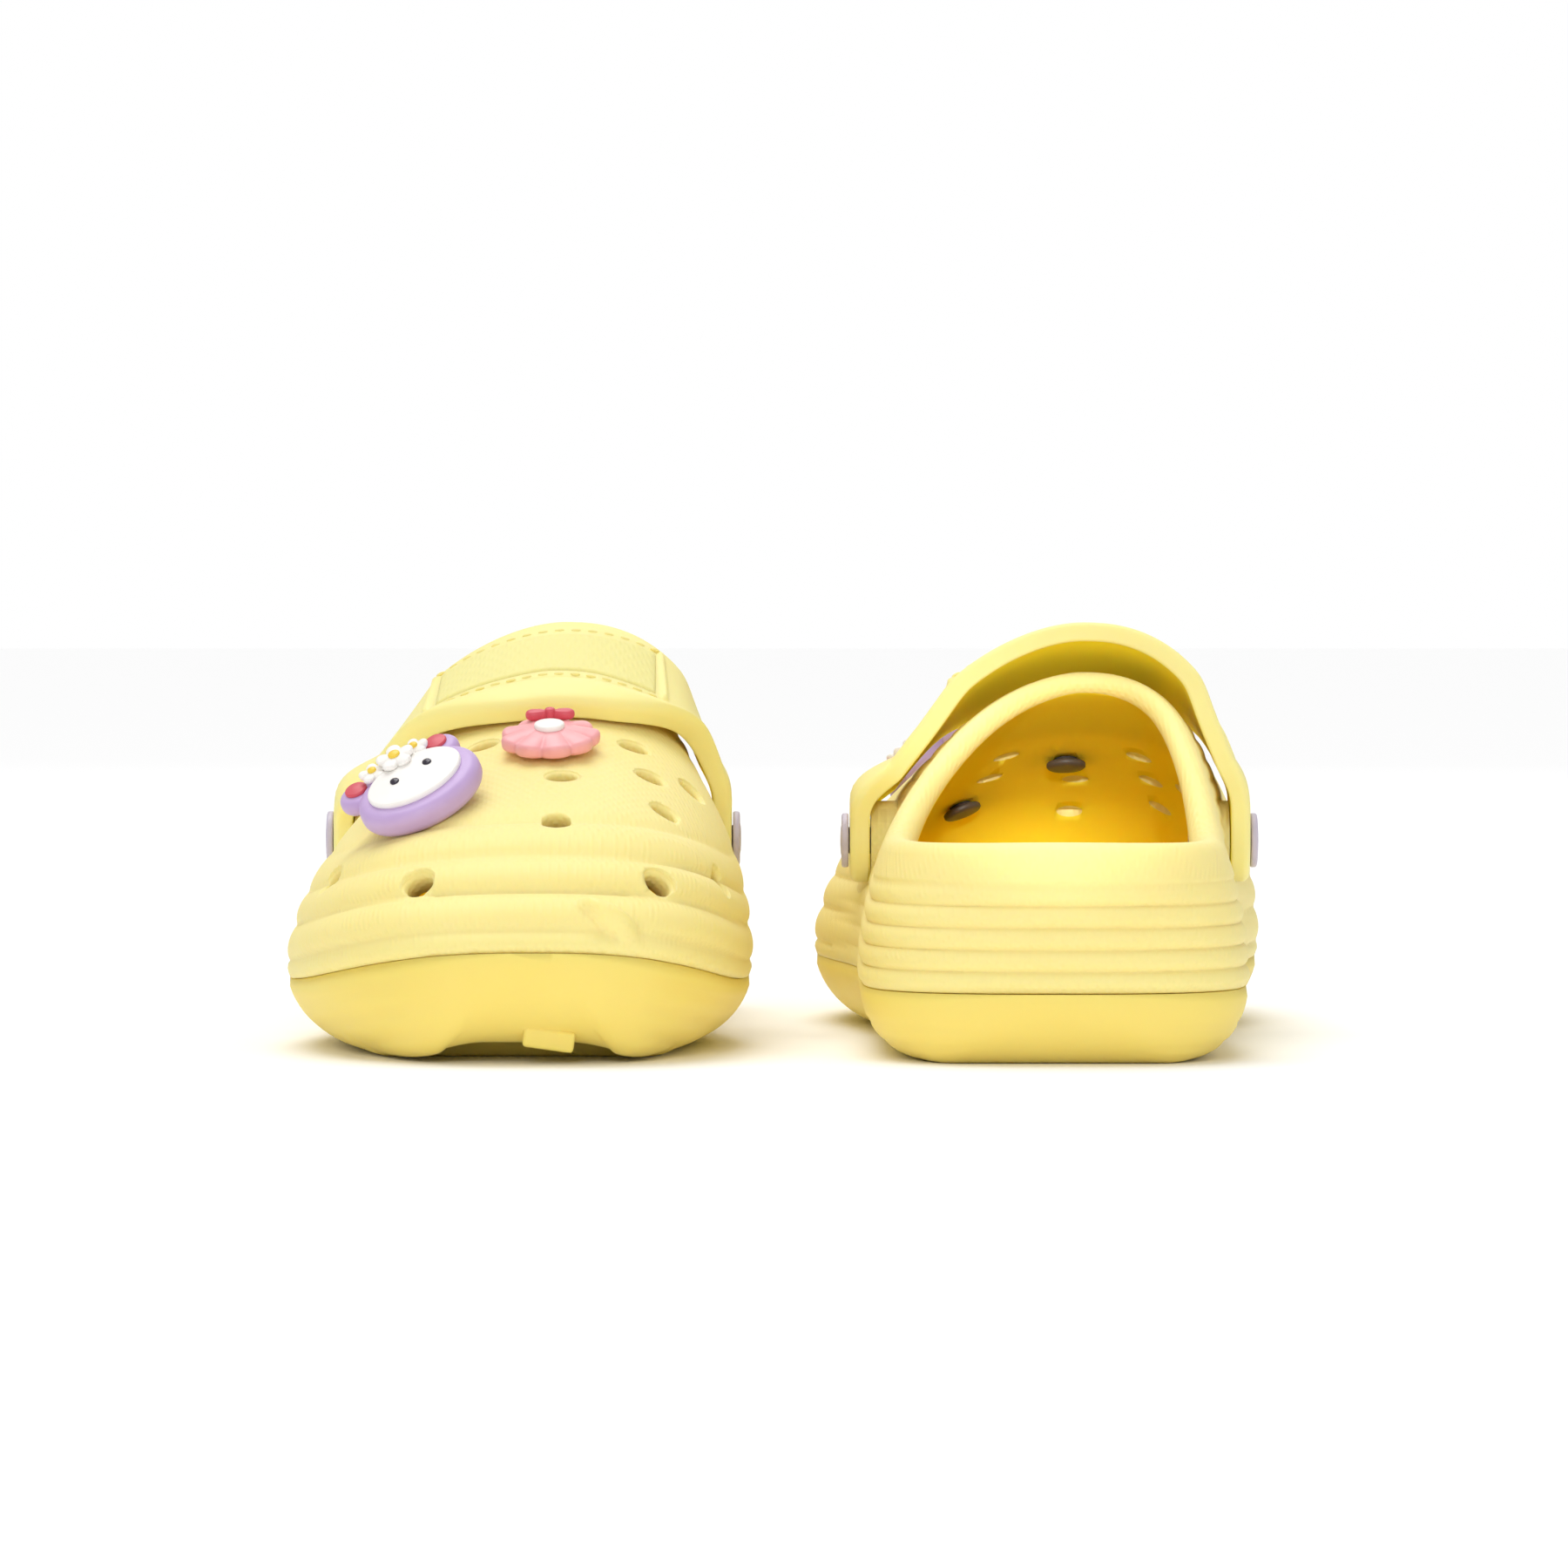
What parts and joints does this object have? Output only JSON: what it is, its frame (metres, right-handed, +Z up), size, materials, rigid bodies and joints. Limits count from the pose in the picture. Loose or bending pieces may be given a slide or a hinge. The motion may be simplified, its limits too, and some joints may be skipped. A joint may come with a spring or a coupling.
{
  "type": "rubber garden clog pair",
  "caption": "Slip-on moulded foam clogs, right and left, with a ribbed vented upper, a separate sole, a riveted turning instep strap and push-in charms.",
  "frame": {"origin": "middle of the pair on the ground plane, halfway along the clogs' length", "axes": "+Z up, Y along both clogs: the right clog's toe points to -Y and the left clog's toe to +Y, +X from the right clog to the left clog"},
  "size_m": [0.2212, 0.248, 0.0939],
  "materials": {
    "foam_upper": "satin moulded foam",
    "foam_sole": "satin moulded foam",
    "foam_footbed": "matt textured foam",
    "foam_strap": "satin moulded foam",
    "label_weave": "matt",
    "rivet_plastic": "satin",
    "plug_plastic": "satin",
    "lilac_vinyl": "soft satin",
    "white_vinyl": "soft satin",
    "coral_vinyl": "soft satin",
    "dark_vinyl": "gloss",
    "pink_vinyl": "soft satin",
    "yolk_vinyl": "soft satin"
  },
  "bodies": {
    "right_clog": {"right_upper": "foam_upper", "right_sole": "foam_sole", "right_footbed": "foam_footbed", "right_rivet_button_outer": "rivet_plastic", "right_rivet_socket_outer": "rivet_plastic", "right_rivet_button_inner": "rivet_plastic", "right_rivet_socket_inner": "rivet_plastic", "right_bear_plug": "plug_plastic", "right_bear_head": "lilac_vinyl", "right_bear_face": "white_vinyl", "right_bear_eye_outer": "dark_vinyl", "right_bear_eye_inner": "dark_vinyl", "right_bear_ear_pad_outer": "coral_vinyl", "right_bear_ear_pad_inner": "coral_vinyl", "right_bear_flower": "white_vinyl", "right_bear_flower_eye": "yolk_vinyl", "right_shell_plug": "plug_plastic", "right_shell_body": "pink_vinyl", "right_shell_centre": "white_vinyl", "right_shell_bow": "coral_vinyl"},
    "right_strap": {"right_strap": "foam_strap", "right_strap_label": "label_weave"},
    "left_clog": {"left_upper": "foam_upper", "left_sole": "foam_sole", "left_footbed": "foam_footbed", "left_rivet_button_outer": "rivet_plastic", "left_rivet_socket_outer": "rivet_plastic", "left_rivet_button_inner": "rivet_plastic", "left_rivet_socket_inner": "rivet_plastic", "left_bear_plug": "plug_plastic", "left_bear_head": "lilac_vinyl", "left_bear_face": "white_vinyl", "left_bear_eye_outer": "dark_vinyl", "left_bear_eye_inner": "dark_vinyl", "left_bear_ear_pad_outer": "coral_vinyl", "left_bear_ear_pad_inner": "coral_vinyl", "left_bear_flower": "white_vinyl", "left_bear_flower_eye": "yolk_vinyl", "left_shell_plug": "plug_plastic", "left_shell_body": "pink_vinyl", "left_shell_centre": "white_vinyl", "left_shell_bow": "coral_vinyl"},
    "left_strap": {"left_strap": "foam_strap", "left_strap_label": "label_weave"}
  },
  "joints": [
    {"name": "right_strap_swing", "type": "hinge", "parent": "right_clog", "child": "right_strap", "pos_m": [-0.059, 0.006, 0.044], "axis": [-1, 0, 0], "range_deg": [0, 30]},
    {"name": "left_clog_lift", "type": "slide", "parent": "right_clog", "child": "left_clog", "axis": [0, 0, 1], "range_m": [0, 0.15]},
    {"name": "left_strap_swing", "type": "hinge", "parent": "left_clog", "child": "left_strap", "pos_m": [0.059, -0.006, 0.044], "axis": [1, 0, 0], "range_deg": [0, 30]}
  ]
}
